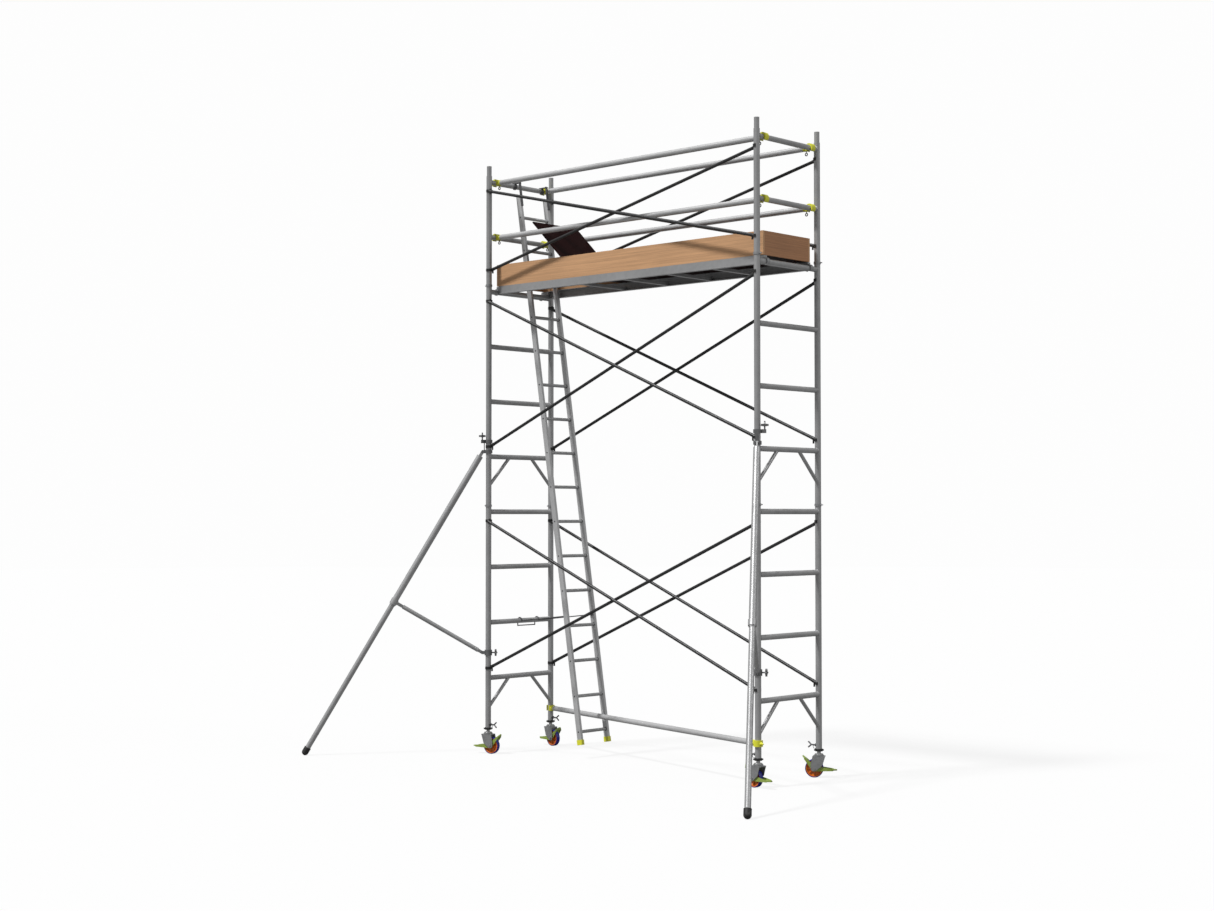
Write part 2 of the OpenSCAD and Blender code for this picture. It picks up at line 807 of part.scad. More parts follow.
// Y-shaped clamping screw on a standard at the origin, pointing along +X
module wing_screw() {
    start = standard_r + weld_gap;
    fork_x = start + wing_stem_l;
    translate([start, 0, 0]) rotate([0, 90, 0]) {
        cylinder(r = wing_boss_r, h = wing_boss_h);
        cylinder(d = wing_stem_d, h = wing_stem_l);
    }
    for (s = [-1, 1])
        rod([fork_x, 0, 0],
            [fork_x + wing_arm_l * cos(wing_spread), 0, s * wing_arm_l * sin(wing_spread)],
            wing_arm_d / 2);
    translate([fork_x, 0, 0]) sphere(r = wing_stem_d / 2 + ball_over);
    translate([start + wing_boss_h + wire_loop_r / 2, 0, -wire_loop_r]) rotate([90, 0, 0])
        rotate_extrude() translate([wire_loop_r, 0]) circle(r = wire_r);
}

module wing_screws() {
    color(zinc) placed()
        for (c = corners) translate([c[0], c[1], wing_z])
            rotate([0, 0, c[0] == 0 ? 0 : 180]) wing_screw();
}

module at_castor(i) {
    placed() translate([corners[i][0], corners[i][1], 0]) rotate([0, 0, castor_yaw[i]]) children();
}

module spindle(i) {
    color([0.75, 0.74, 0.70]) at_castor(i) {
        translate([0, 0, spindle_stem_z]) {
            cylinder(r = spindle_flange_r, h = spindle_flange_t);
            cylinder(d = spindle_d, h = spindle_l);
        }
        translate([0, 0, fork_top_z - fork_plate_t - side_play])
            cylinder(d = kingpin_d, h = race_h + fork_plate_t + 3 * side_play);
        translate([0, 0, fork_top_z - fork_plate_t - side_play - kingpin_nut_t])
            cylinder(r = kingpin_nut_r, h = kingpin_nut_t);
    }
}

module fork_cheek() {
    a = castor_trail;
    rotate([90, 0, 0]) linear_extrude(cheek_t)
        polygon([
            [-fork_half, fork_top_z], [fork_half, fork_top_z], [a + 28, wheel_r + 30],
            [a + 24, wheel_r - 12], [a + 10, wheel_r - 20], [a - 12, wheel_r - 20],
            [-26, wheel_r + 22]
        ]);
}

module fork(i) {
    color(zinc) at_castor(i) {
        difference() {
            union() {
                translate([-fork_half, -cheek_in - cheek_t, fork_top_z - fork_plate_t])
                    cube([2 * fork_half, 2 * (cheek_in + cheek_t), fork_plate_t]);
                translate([0, 0, fork_top_z]) cylinder(r = race_r, h = race_h);
                translate([0, -cheek_in, 0]) fork_cheek();
                translate([0, cheek_in + cheek_t, 0]) fork_cheek();
            }
            translate([0, 0, fork_top_z - 2 * fork_plate_t])
                cylinder(r = kingpin_d / 2 + hinge_play, h = race_h + 4 * fork_plate_t);
        }
        translate([castor_trail, 0, wheel_r]) rotate([90, 0, 0]) {
            cylinder(d = axle_d, h = 2 * (cheek_in + cheek_t), center = true);
            for (s = [-1, 1])
                translate([0, 0, s * (cheek_in + cheek_t + axle_head_t / 2)])
                    cylinder(r = axle_head_r, h = axle_head_t, center = true);
        }
    }
}

module on_axle(i) {
    at_castor(i) translate([castor_trail, 0, wheel_r]) rotate([90, 0, 0]) children();
}

module hub(i) {
    bore = axle_d / 2 + hinge_play;
    color(orange) on_axle(i)
        rotate_extrude() polygon([
            [bore, -hub_boss_w / 2], [hub_boss_r, -hub_boss_w / 2], [hub_boss_r, -hub_web / 2],
            [hub_r - hub_rim, -hub_web / 2], [hub_r - hub_rim, -hub_w / 2], [hub_r, -hub_w / 2],
            [hub_r, hub_w / 2], [hub_r - hub_rim, hub_w / 2], [hub_r - hub_rim, hub_web / 2],
            [hub_boss_r, hub_web / 2], [hub_boss_r, hub_boss_w / 2], [bore, hub_boss_w / 2]
        ]);
}

module tyre(i) {
    half = tyre_w / 2;
    color(blue) on_axle(i)
        rotate_extrude() polygon([
            [hub_r + weld_gap, -hub_w / 2], [wheel_r - tyre_edge * 1.6, -half],
            [wheel_r - tyre_edge / 2, -half + tyre_edge / 2], [wheel_r, -half + tyre_edge * 2],
            [wheel_r, half - tyre_edge * 2], [wheel_r - tyre_edge / 2, half - tyre_edge / 2],
            [wheel_r - tyre_edge * 1.6, half], [hub_r + weld_gap, hub_w / 2]
        ]);
}

// One cheek of the rocking pedal, in the wheel's plane with the axle at zero
module pedal_cheek() {
    low = castor_trail + low_shoulder;
    linear_extrude(pedal_t) union() {
        circle(r = arm_half + 6);
        polygon([[0, -arm_half - 4], [-low, -arm_half / 2 - 8], [-low, pad_t / 2 - 6],
                 [0, arm_half + 4]]);
        rotate(up_arm_angle)
            polygon([[0, -arm_half - 4], [up_arm_l - up_shoulder, -pad_t / 2],
                     [up_arm_l - up_shoulder, arm_half / 2], [0, arm_half + 4]]);
    }
}

// A foot pad that tapers to a tip, from distance a to distance b
module pedal_pad(a, shoulder, b) {
    linear_extrude(pad_t)
        polygon([[a, -pedal_out], [shoulder, -pedal_out], [b, -pad_t], [b, pad_t],
                 [shoulder, pedal_out], [a, pedal_out]]);
}

module pedal(i) {
    color(lime) at_castor(i) translate([castor_trail, 0, wheel_r])
        difference() {
            union() {
                for (y = [pedal_out, -pedal_in])
                    translate([0, y, 0]) rotate([90, 0, 0]) pedal_cheek();
                mirror([1, 0, 0]) translate([0, 0, -arm_half / 2 - 4])
                    pedal_pad(pad_edge, castor_trail + low_shoulder, castor_trail + low_tip);
                rotate([0, -up_arm_angle, 0])
                    pedal_pad(pad_edge, up_arm_l - up_shoulder, up_arm_l);
            }
            rotate([90, 0, 0])
                cylinder(r = axle_d / 2 + hinge_play, h = 4 * pedal_out, center = true);
        }
}

// ---------- stabilisers ----------

module at_stabiliser(x, bearing) {
    placed() translate([x, 0, 0]) rotate([0, 0, bearing]) children();
}

module clamp_ring(h) {
    difference() {
        cylinder(r = clamp_r + clamp_wall, h = h);
        translate([0, 0, -past]) cylinder(r = clamp_r, h = h + 2 * past);
    }
}

// Two ears beside a tongue, from the clamp's ring out past the pivot
module clamp_ears() {
    for (s = [-1, 1])
        translate([0, s * (tongue_t / 2 + side_play + ear_t / 2), 0]) {
            translate([clamp_r + clamp_wall / 2, -ear_t / 2, -tongue_r])
                cube([leg_pivot_r - clamp_r - clamp_wall / 2, ear_t, 2 * tongue_r]);
            translate([leg_pivot_r, 0, 0]) rotate([90, 0, 0])
                cylinder(r = tongue_r, h = ear_t, center = true);
        }
}

module star_knob() {
    cylinder(r = knob_hub_r, h = knob_t);
    for (a = [0 : knob_arms - 1]) rotate([0, 0, a * 360 / knob_arms])
        translate([0, -knob_arm_w / 2, (knob_t - knob_arm_t) / 2])
            cube([knob_reach, knob_arm_w, knob_arm_t]);
}

// Two bands with a plate between them, so that a brace hook fits behind it
module leg_clamp(x, bearing, knob_turn) {
    arm_start = clamp_r + clamp_wall / 2;
    upper = band_h + band_gap;
    color([0.5, 0.51, 0.52]) at_stabiliser(x, bearing) {
        translate([0, 0, leg_pivot_z]) clamp_ears();
        translate([leg_pivot_r, 0, leg_pivot_z]) rotate([90, 0, 0])
            cylinder(d = leg_pin_d, h = tongue_t + 2 * side_play + ear_t, center = true);
        translate([0, 0, leg_pivot_z - band_h / 2]) {
            clamp_ring(band_h);
            translate([0, 0, upper]) clamp_ring(band_h);
            difference() {
                translate([clamp_r + 2, -plate_half, 0])
                    cube([plate_in + plate_t - clamp_r - 2, 2 * plate_half, upper + band_h]);
                translate([0, -plate_half - past, band_h])
                    cube([plate_in, 2 * (plate_half + past), band_gap]);
                cut = tongue_r + side_play;
                translate([plate_in - 1, -tongue_t / 2 - side_play, band_h / 2 - cut])
                    cube([2 * plate_t, tongue_t + 2 * side_play, 2 * cut]);
            }
            translate([0, 0, upper]) rotate([0, 0, knob_turn]) {
                translate([arm_start, -knob_hub_r, 0])
                    cube([bolt_r + bolt_d - arm_start, 2 * knob_hub_r, band_h]);
                translate([bolt_r, 0, band_h]) cylinder(d = bolt_d, h = bolt_l);
                translate([bolt_r, 0, band_h + knob_rise]) star_knob();
            }
        }
    }
}

module strut_clamp(x, bearing, knob_turn) {
    color([0.5, 0.51, 0.52]) at_stabiliser(x, bearing)
        translate([0, 0, strut_clamp_z]) {
            translate([0, 0, -strut_clamp_h / 2]) clamp_ring(strut_clamp_h);
            clamp_ears();
            rotate([0, 0, knob_turn]) translate([clamp_r + clamp_wall / 2, 0, 0])
                rotate([0, 90, 0]) {
                    cylinder(d = bolt_d, h = side_bolt_l - clamp_r);
                    translate([0, 0, side_knob_at - clamp_r]) star_knob();
                }
        }
}

// Puts a part drawn along +Z from the leg's pivot on the leg
module on_leg(x, bearing, reach) {
    at_stabiliser(x, bearing) translate([leg_pivot_r, 0, leg_pivot_z])
        rotate([0, 180 - leg_lean(reach), 0]) children();
}

// Flat end with a bore, from the pivot at the origin to l along +Z
module tongue(l, pin_r) {
    difference() {
        union() {
            rotate([90, 0, 0]) cylinder(r = tongue_r, h = tongue_t, center = true);
            translate([-tongue_r, -tongue_t / 2, 0]) cube([2 * tongue_r, tongue_t, l]);
        }
        rotate([90, 0, 0]) cylinder(r = pin_r, h = 2 * tongue_t, center = true);
    }
}

module leg(x, bearing, reach) {
    color(aluminium) on_leg(x, bearing, reach) {
        tongue(leg_tube_start + leg_wall, leg_pin_d / 2 + hinge_play);
        translate([0, 0, leg_tube_start]) cylinder(d = leg_d, h = leg_wall);
        translate([0, 0, leg_tube_start]) tube(leg_d, leg_wall, leg_tube_end - leg_tube_start);
        // the strut's bracket, on the side that faces the tower
        translate([0, 0, strut_station - collar_h / 2])
            difference() {
                union() {
                    cylinder(d = leg_d + 2 * collar_wall, h = collar_h);
                    for (s = [-1, 1])
                        translate([0, s * (tongue_t / 2 + side_play + ear_t / 2), collar_h / 2])
                            strut_ear();
                }
                translate([0, 0, -past]) cylinder(d = leg_d, h = collar_h + 2 * past);
            }
        translate([strut_side, 0, strut_station]) rotate([90, 0, 0])
            cylinder(d = leg_pin_d, h = tongue_t + 2 * side_play + ear_t, center = true);
    }
}

module strut_ear() {
    translate([0, -ear_t / 2, -tongue_r]) cube([strut_side, ear_t, 2 * tongue_r]);
    translate([strut_side, 0, 0]) rotate([90, 0, 0])
        cylinder(r = tongue_r, h = ear_t, center = true);
}

module leg_extension(x, bearing, reach) {
    start = leg_tube_end - extension_in;
    color([0.68, 0.69, 0.70]) on_leg(x, bearing, reach)
        translate([0, 0, start]) tube(leg_inner_d, extension_wall, leg_length(reach) - start);
}

module leg_foot(x, bearing, reach) {
    color(black) on_leg(x, bearing, reach)
        translate([0, 0, leg_length(reach)])
            difference() {
                union() {
                    sphere(r = foot_r);
                    translate([0, 0, -foot_cap_l]) cylinder(r = foot_r, h = foot_cap_l);
                }
                translate([0, 0, -2 * foot_cap_l])
                    cylinder(r = leg_inner_d / 2 + weld_gap, h = 2 * foot_cap_l + weld_gap);
            }
}

module strut(x, bearing, reach) {
    p = leg_point(reach, strut_station, strut_side);
    l = strut_length(reach);
    color(aluminium) at_stabiliser(x, bearing) translate([p[0], 0, p[1]])
        rotate([0, 180 + strut_lean(reach), 0]) {
            tongue(strut_tube_start + strut_wall, leg_pin_d / 2 + hinge_play);
            translate([0, 0, l]) mirror([0, 0, 1])
                tongue(strut_tube_start + strut_wall, leg_pin_d / 2 + hinge_play);
            for (z = [strut_tube_start, l - strut_tube_start - strut_wall])
                translate([0, 0, z]) cylinder(d = strut_d, h = strut_wall);
            translate([0, 0, strut_tube_start])
                tube(strut_d, strut_wall, l - 2 * strut_tube_start);
        }
}

left_x = 0;
right_x = tower_length;

frame_at(left_x, 0, frame_pitches, true);  // lower_frame_left
frame_at(right_x, 0, frame_pitches, true);  // lower_frame_right
frame_at(left_x, frame_pitches, frame_pitches, true);  // upper_frame_left
frame_at(right_x, frame_pitches, frame_pitches, true);  // upper_frame_right
frame_at(left_x, 2 * frame_pitches, guard_pitches, false);  // guard_frame_left
frame_at(right_x, 2 * frame_pitches, guard_pitches, false);  // guard_frame_right
interlock_clips();
diagonal_braces(0);  // diagonal_braces_front
diagonal_braces(frame_width);  // diagonal_braces_back
brace_hooks();
guardrails();
rail_hooks();
rail_triggers();
plan_brace();
plan_brace_hooks();
platform_frame();
deck_board();
platform_claws();
toe_boards_long();
toe_boards_end();
hatch();
ladder_stiles();
ladder_rungs();
ladder_feet();
ladder_hooks();
ladder_stay();
spindle_nuts();
wing_screws();
spindle(0);  // spindle_lf
fork(0);  // fork_lf
hub(0);  // hub_lf
tyre(0);  // tyre_lf
pedal(0);  // pedal_lf
spindle(1);  // spindle_lb
fork(1);  // fork_lb
hub(1);  // hub_lb
tyre(1);  // tyre_lb
pedal(1);  // pedal_lb
spindle(2);  // spindle_rf
fork(2);  // fork_rf
hub(2);  // hub_rf
tyre(2);  // tyre_rf
pedal(2);  // pedal_rf
spindle(3);  // spindle_rb
fork(3);  // fork_rb
hub(3);  // hub_rb
tyre(3);  // tyre_rb
pedal(3);  // pedal_rb
leg_clamp(left_x, left_bearing, 0);  // leg_clamp_left
leg(left_x, left_bearing, left_reach);  // leg_left
leg_extension(left_x, left_bearing, left_reach);  // leg_extension_left
leg_foot(left_x, left_bearing, left_reach);  // leg_foot_left
strut(left_x, left_bearing, left_reach);  // strut_left
strut_clamp(left_x, left_bearing, 180);  // strut_clamp_left
leg_clamp(right_x, right_bearing, 90);  // leg_clamp_right
leg(right_x, right_bearing, right_reach);  // leg_right
leg_extension(right_x, right_bearing, right_reach);  // leg_extension_right
leg_foot(right_x, right_bearing, right_reach);  // leg_foot_right
strut(right_x, right_bearing, right_reach);  // strut_right
strut_clamp(right_x, right_bearing, 90);  // strut_clamp_right
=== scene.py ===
"""Looks of the mobile access tower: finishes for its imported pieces, and detailed pieces for some."""
import json
import math

import bmesh
import bpy
from bpy.props import FloatProperty, FloatVectorProperty, IntProperty, PointerProperty
from bpy.types import Operator, Panel, PropertyGroup
from mathutils import Matrix, Vector


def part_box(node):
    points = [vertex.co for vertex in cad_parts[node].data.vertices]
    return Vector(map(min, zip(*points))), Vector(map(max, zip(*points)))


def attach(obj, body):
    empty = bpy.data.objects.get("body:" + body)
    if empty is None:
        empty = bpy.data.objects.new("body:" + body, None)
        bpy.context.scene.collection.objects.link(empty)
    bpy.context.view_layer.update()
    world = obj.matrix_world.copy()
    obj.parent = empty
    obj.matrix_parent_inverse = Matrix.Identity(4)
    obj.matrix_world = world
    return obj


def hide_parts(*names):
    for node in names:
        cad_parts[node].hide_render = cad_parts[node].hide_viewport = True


bl_info = {
    "name": "Access tower looks",
    "version": (1, 0, 0),
    "blender": (4, 5, 0),
    "location": "3D View > Sidebar > Tower",
    "description": "Finishes and detailed pieces for a mobile access tower",
    "category": "Object",
}

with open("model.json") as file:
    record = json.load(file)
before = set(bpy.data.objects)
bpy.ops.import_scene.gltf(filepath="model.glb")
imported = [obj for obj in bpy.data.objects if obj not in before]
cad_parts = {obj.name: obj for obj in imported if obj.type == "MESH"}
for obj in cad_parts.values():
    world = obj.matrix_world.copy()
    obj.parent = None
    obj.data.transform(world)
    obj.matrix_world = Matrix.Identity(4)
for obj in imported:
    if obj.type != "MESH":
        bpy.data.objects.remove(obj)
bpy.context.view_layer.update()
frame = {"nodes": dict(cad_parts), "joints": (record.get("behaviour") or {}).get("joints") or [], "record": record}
NODES = frame["nodes"]
JOINTS = {j["name"]: j for j in frame["joints"]}
SLOT_OF = {p["node"]: p["material_slot"] for p in frame["record"]["subparts"]}
CASTORS = ("lf", "lb", "rf", "rb")
SIDES = ("left", "right")

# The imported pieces' own sizes, in metres
TREAD_HALF = 0.021            # half the tread's width
RIM_HALF = 0.017              # half the rim's width
WEB_HALF = 0.006              # half the thickness of the wheel centre's web
BOSS_HALF = 0.023             # half the width of the wheel's boss
AXLE_BORE = 0.00605
RIB_START = 0.0175            # from the axle to a rib
RIB_SIZE = (0.0035, 0.0085)   # width and depth of a rib
RIB_OUT = 0.0098              # from the wheel's middle to a rib's
STEM_FLANGE = 0.034
STEM_RADIUS = 0.0165
STEM_PIN = 0.008
THREAD_DEPTH = 0.0018
RUNGS = 10                    # rungs in a stack of frames
KNOB_BAND = (0.0422, 0.0218)  # the star knob, below the top of a leg clamp
SIDE_KNOB_BAND = (0.0555, 0.0765)   # the star knob, out from the standard's axis
PEDAL_TIP = 0.030             # length of a pedal's tip
BOARD_AREA = 0.3              # only the trapdoor's two faces are larger
BOARD_SKIN = 0.0005


# ---------- settings ----------

class TowerSizes(PropertyGroup):
    """Sizes that the new pieces are made to."""
    rung_pitch: FloatProperty(name="Rung pitch", description="Distance between the frame rungs",
                              default=0.5, min=0.2, unit="LENGTH", subtype="DISTANCE")
    first_rung: FloatProperty(name="First rung", description="Height of the lowest frame rung",
                              default=0.68, min=0.1, unit="LENGTH", subtype="DISTANCE")
    standard: FloatProperty(name="Standard", description="Outer diameter of the standards",
                            default=0.0508, min=0.02, unit="LENGTH", subtype="DISTANCE")
    rung: FloatProperty(name="Rung", description="Outer diameter of the frame rungs",
                        default=0.0445, min=0.02, unit="LENGTH", subtype="DISTANCE")
    bead: FloatProperty(name="Weld bead", description="Radius of the weld bead round a rung's end",
                        default=0.0035, min=0.001, unit="LENGTH", subtype="DISTANCE")
    ladder_rung: FloatProperty(name="Ladder rung", description="Diameter of the ladder's rungs",
                               default=0.029, min=0.01, unit="LENGTH", subtype="DISTANCE")
    ladder_pitch: FloatProperty(name="Ladder pitch", description="Distance between the ladder's rungs",
                                default=0.314, min=0.2, unit="LENGTH", subtype="DISTANCE")
    stile: FloatProperty(name="Stile", description="Thickness of a ladder stile across its rungs",
                         default=0.025, min=0.01, unit="LENGTH", subtype="DISTANCE")
    rivet: FloatProperty(name="Rivet", description="Radius of the swaged end of a ladder rung",
                         default=0.0075, min=0.002, unit="LENGTH", subtype="DISTANCE")
    thread_pitch: FloatProperty(name="Thread pitch", description="Pitch of the castor stem's thread",
                                default=0.008, min=0.003, unit="LENGTH", subtype="DISTANCE")
    rubber_depth: FloatProperty(name="Tread depth", description="Thickness of a wheel's tread",
                                default=0.007, min=0.005, unit="LENGTH", subtype="DISTANCE")
    ribs: IntProperty(name="Wheel ribs", description="Ribs on each face of a wheel's centre",
                      default=8, min=3, max=24)


def colour(name, text, default):
    return FloatVectorProperty(name=name, description=text, default=default, size=3,
                               min=0.0, max=1.0, subtype="COLOR")


class TowerColours(PropertyGroup):
    """Base colours of the finishes."""
    aluminium: colour("Aluminium tube", "Drawn tube of the frames", (0.37, 0.372, 0.375))
    # Lighter than the tube colour: painted top light on the horizontal rails, over the aluminium's own grey.
    lit_rail: colour("Aluminium rail", "Guardrails, ladder and stabilisers", (0.52, 0.522, 0.525))
    dark: colour("Dark tube", "Diagonal braces", (0.030, 0.030, 0.031))
    zinc: colour("Zinc", "Plated steel fittings and platform frame", (0.36, 0.365, 0.37))
    clamp: colour("Clamp", "Forged couplers", (0.20, 0.202, 0.205))
    hook: colour("Hook", "Dark plated flat bar", (0.13, 0.13, 0.135))
    black: colour("Black nylon", "Hooks and knobs", (0.012, 0.012, 0.012))
    yellow: colour("Yellow nylon", "Rail claws and ladder feet", (0.66, 0.66, 0.035))
    timber: colour("Timber", "Toe boards", (0.66, 0.37, 0.185))
    # The end toe boards' colour is the timber colour darkened as painted shade on the end boards.
    shaded_end_timber: colour("End timber", "Toe boards across the platform's ends", (0.49, 0.235, 0.108))
    deck: colour("Deck", "Phenolic faced plywood", (0.014, 0.003, 0.003))
    ply_edge: colour("Ply edge", "Bare edge of the deck plywood", (0.33, 0.26, 0.20))
    orange: colour("Wheel centre", "Moulded wheel centre", (0.64, 0.145, 0.003))
    blue: colour("Tread", "Polyurethane tread", (0.002, 0.002, 0.22))
    lime: colour("Pedal", "Brake pedal", (0.24, 0.33, 0.055))
    rubber: colour("Rubber", "Stabiliser feet", (0.010, 0.010, 0.010))


# ---------- shared effects ----------

def effect(name, inputs, outputs):
    """A node group with those sockets, and its input and output nodes."""
    group = bpy.data.node_groups.new(name, "ShaderNodeTree")
    for label, kind, default in inputs:
        made = group.interface.new_socket(name=label, in_out="INPUT", socket_type=kind)
        made.default_value = default
    for label, kind in outputs:
        group.interface.new_socket(name=label, in_out="OUTPUT", socket_type=kind)
    start = group.nodes.new("NodeGroupInput")
    end = group.nodes.new("NodeGroupOutput")
    start.location, end.location = (-900, 0), (700, 0)
    return group, start, end


def node(tree, kind, **settings):
    made = tree.nodes.new(kind)
    for key, value in settings.items():
        setattr(made, key, value)
    return made


def noise(tree, vector, scale, detail=3.0, roughness=0.55):
    made = node(tree, "ShaderNodeTexNoise")
    tree.links.new(vector, made.inputs["Vector"])
    if isinstance(scale, (int, float)):
        made.inputs["Scale"].default_value = scale
    else:
        tree.links.new(scale, made.inputs["Scale"])
    made.inputs["Detail"].default_value = detail
    made.inputs["Roughness"].default_value = roughness
    return made.outputs["Fac"]


def remap(tree, value, low, high, to_low, to_high):
    made = node(tree, "ShaderNodeMapRange")
    tree.links.new(value, made.inputs["Value"])
    for label, amount in (("From Min", low), ("From Max", high), ("To Min", to_low), ("To Max", to_high)):
        if isinstance(amount, (int, float)):
            made.inputs[label].default_value = amount
        else:
            tree.links.new(amount, made.inputs[label])
    return made.outputs["Result"]


def blend_colour(tree, fac, a, b, mode="MIX"):
    made = node(tree, "ShaderNodeMix", data_type="RGBA", blend_type=mode)
    tree.links.new(fac, made.inputs[0])
    tree.links.new(a, made.inputs[6])
    tree.links.new(b, made.inputs[7])
    return made.outputs[2]


def math_node(tree, operation, a, b):
    made = node(tree, "ShaderNodeMath", operation=operation)
    for socket, value in zip(made.inputs, (a, b)):
        if isinstance(value, (int, float)):
            socket.default_value = value
        else:
            tree.links.new(value, socket)
    return made.outputs[0]


def add_share(tree, a, b, share):
    """One value plus a share of another."""
    return math_node(tree, "ADD", a, math_node(tree, "MULTIPLY", b, share))


def stretched(tree, vector, by):
    made = node(tree, "ShaderNodeVectorMath", operation="MULTIPLY")
    tree.links.new(vector, made.inputs[0])
    tree.links.new(by, made.inputs[1])
    return made.outputs[0]


def drawn_metal_effect():
    """Handled, drawn or plated metal: cloudy tone, dull smears, fine lines and small scuffs."""
    group, start, end = effect(
        "drawn_metal",
        [("Colour", "NodeSocketColor", (0.5, 0.5, 0.5, 1)), ("Dull", "NodeSocketColor", (0.3, 0.3, 0.3, 1)),
         ("Smear", "NodeSocketFloat", 0.35), ("Rough Low", "NodeSocketFloat", 0.3),
         ("Rough High", "NodeSocketFloat", 0.5), ("Lines", "NodeSocketVector", (90, 90, 3))],
        [("Colour", "NodeSocketColor"), ("Roughness", "NodeSocketFloat"), ("Height", "NodeSocketFloat")])
    place = node(group, "ShaderNodeTexCoord").outputs["Object"]
    cloud = noise(group, place, 2.3, 4)
    patch = noise(group, place, 21.0, 5, 0.62)
    line = noise(group, stretched(group, place, start.outputs["Lines"]), 6.0, 2)
    fleck = noise(group, place, 160.0, 2)
    smear = math_node(group, "MULTIPLY", remap(group, patch, 0.42, 0.68, 0, 1), start.outputs["Smear"])
    scuff = math_node(group, "MULTIPLY", remap(group, fleck, 0.60, 0.70, 0, 1), 0.35)
    toned = blend_colour(group, smear, start.outputs["Colour"], start.outputs["Dull"])
    toned = blend_colour(group, scuff, toned, start.outputs["Dull"])
    shade = node(group, "ShaderNodeHueSaturation")
    group.links.new(remap(group, cloud, 0.3, 0.7, 0.90, 1.10), shade.inputs["Value"])
    group.links.new(toned, shade.inputs["Color"])
    group.links.new(shade.outputs[0], end.inputs["Colour"])
    mixed = add_share(group, math_node(group, "MULTIPLY", patch, 0.6), line, 0.4)
    group.links.new(remap(group, mixed, 0.35, 0.65, start.outputs["Rough Low"], start.outputs["Rough High"]),
                    end.inputs["Roughness"])
    group.links.new(add_share(group, line, fleck, 0.5), end.inputs["Height"])
    return group


def timber_effect():
    """Long grain with darker streaks, growth bands and pores, stretched along a board."""
    group, start, end = effect(
        "timber_grain",
        [("Light", "NodeSocketColor", (0.6, 0.4, 0.2, 1)), ("Dark", "NodeSocketColor", (0.3, 0.2, 0.1, 1)),
         ("Grain", "NodeSocketVector", (1, 14, 14)), ("Contrast", "NodeSocketFloat", 0.6)],
        [("Colour", "NodeSocketColor"), ("Roughness", "NodeSocketFloat"), ("Height", "NodeSocketFloat")])
    place = node(group, "ShaderNodeTexCoord").outputs["Object"]
    along = stretched(group, place, start.outputs["Grain"])
    band = noise(group, along, 1.6, 6, 0.6)
    streak = noise(group, along, 7.5, 5, 0.7)
    pore = noise(group, along, 34.0, 2)
    cloud = noise(group, place, 1.3, 2)
    grain = add_share(group, math_node(group, "MULTIPLY", band, 0.55), streak, 0.45)
    fac = math_node(group, "MULTIPLY", remap(group, grain, 0.34, 0.66, 0, 1), start.outputs["Contrast"])
    wood = blend_colour(group, fac, start.outputs["Light"], start.outputs["Dark"])
    wood = blend_colour(group, math_node(group, "MULTIPLY", remap(group, pore, 0.60, 0.72, 0, 1), 0.35), wood,
                        start.outputs["Dark"])
    shade = node(group, "ShaderNodeHueSaturation")
    group.links.new(remap(group, cloud, 0.3, 0.7, 0.92, 1.08), shade.inputs["Value"])
    group.links.new(wood, shade.inputs["Color"])
    group.links.new(shade.outputs[0], end.inputs["Colour"])
    group.links.new(remap(group, streak, 0.3, 0.7, 0.50, 0.72), end.inputs["Roughness"])
    group.links.new(add_share(group, streak, pore, 0.6), end.inputs["Height"])
    return group


def moulded_effect():
    """Moulded plastic, rubber or thick paint: pebbled skin, dust in patches and rubbed spots."""
    group, start, end = effect(
        "moulded_skin",
        [("Colour", "NodeSocketColor", (0.5, 0.5, 0.5, 1)), ("Dust", "NodeSocketColor", (0.4, 0.38, 0.35, 1)),
         ("Dust Amount", "NodeSocketFloat", 0.15), ("Rough Low", "NodeSocketFloat", 0.35),
         ("Rough High", "NodeSocketFloat", 0.55), ("Pebble", "NodeSocketFloat", 420.0)],
        [("Colour", "NodeSocketColor"), ("Roughness", "NodeSocketFloat"), ("Height", "NodeSocketFloat")])
    place = node(group, "ShaderNodeTexCoord").outputs["Object"]
    patch = noise(group, place, 34.0, 5, 0.65)
    pebble = noise(group, place, start.outputs["Pebble"], 2)
    dust = math_node(group, "MULTIPLY", remap(group, patch, 0.50, 0.74, 0, 1), start.outputs["Dust Amount"])
    skin = blend_colour(group, dust, start.outputs["Colour"], start.outputs["Dust"])
    group.links.new(skin, end.inputs["Colour"])
    group.links.new(remap(group, patch, 0.3, 0.7, start.outputs["Rough Low"], start.outputs["Rough High"]),
                    end.inputs["Roughness"])
    group.links.new(add_share(group, pebble, patch, 0.7), end.inputs["Height"])
    return group


# ---------- finishes ----------

def finish(name, group, values, metallic, bump, distance, coat=0.0, specular=0.5):
    """A material with that effect's colour, roughness and height on a Principled shader."""
    made = bpy.data.materials.new(name)
    made.use_nodes = True
    tree = made.node_tree
    shader = tree.nodes["Principled BSDF"]
    placed = node(tree, "ShaderNodeGroup", node_tree=group, label=group.name)
    placed.location = (-500, 0)
    for label, value in values.items():
        placed.inputs[label].default_value = value
    raised = node(tree, "ShaderNodeBump")
    raised.location = (-250, -300)
    raised.inputs["Strength"].default_value = bump
    raised.inputs["Distance"].default_value = distance
    tree.links.new(placed.outputs["Colour"], shader.inputs["Base Color"])
    tree.links.new(placed.outputs["Roughness"], shader.inputs["Roughness"])
    tree.links.new(placed.outputs["Height"], raised.inputs["Height"])
    tree.links.new(raised.outputs["Normal"], shader.inputs["Normal"])
    shader.inputs["Metallic"].default_value = metallic
    shader.inputs["Coat Weight"].default_value = coat
    shader.inputs["Specular IOR Level"].default_value = specular
    made.diffuse_color = (*list(values.get("Colour", values.get("Light")))[:3], 1)
    return made


def rgba(values, share=1.0):
    return (*[v * share for v in values], 1.0)


